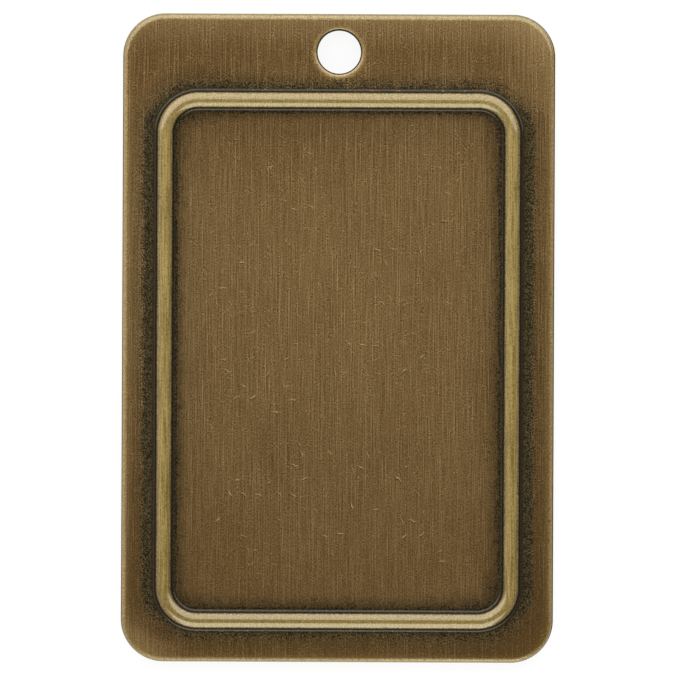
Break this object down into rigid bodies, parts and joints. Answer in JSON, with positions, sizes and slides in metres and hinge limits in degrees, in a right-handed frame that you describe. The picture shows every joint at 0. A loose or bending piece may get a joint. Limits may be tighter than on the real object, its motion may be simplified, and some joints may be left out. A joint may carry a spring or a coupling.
{
  "type": "finish sample plate",
  "caption": "Flat metal finish sample plate with rounded corners, a round hanging hole and a raised half-round bead framing its brushed antique brass panel.",
  "frame": {"origin": "centre of the plate's outline on its flat back", "axes": "+Z out of the decorated face, +Y along the plate towards the hanging hole, +X across it to the right"},
  "size_m": [0.0508, 0.0762, 0.0033],
  "materials": {
    "antique_brass": "brushed antique brass plate under clear lacquer, dark in the recesses and relieved on the raised edges"
  },
  "bodies": {
    "root": {"sample_plate": "antique_brass"}
  },
  "joints": []
}
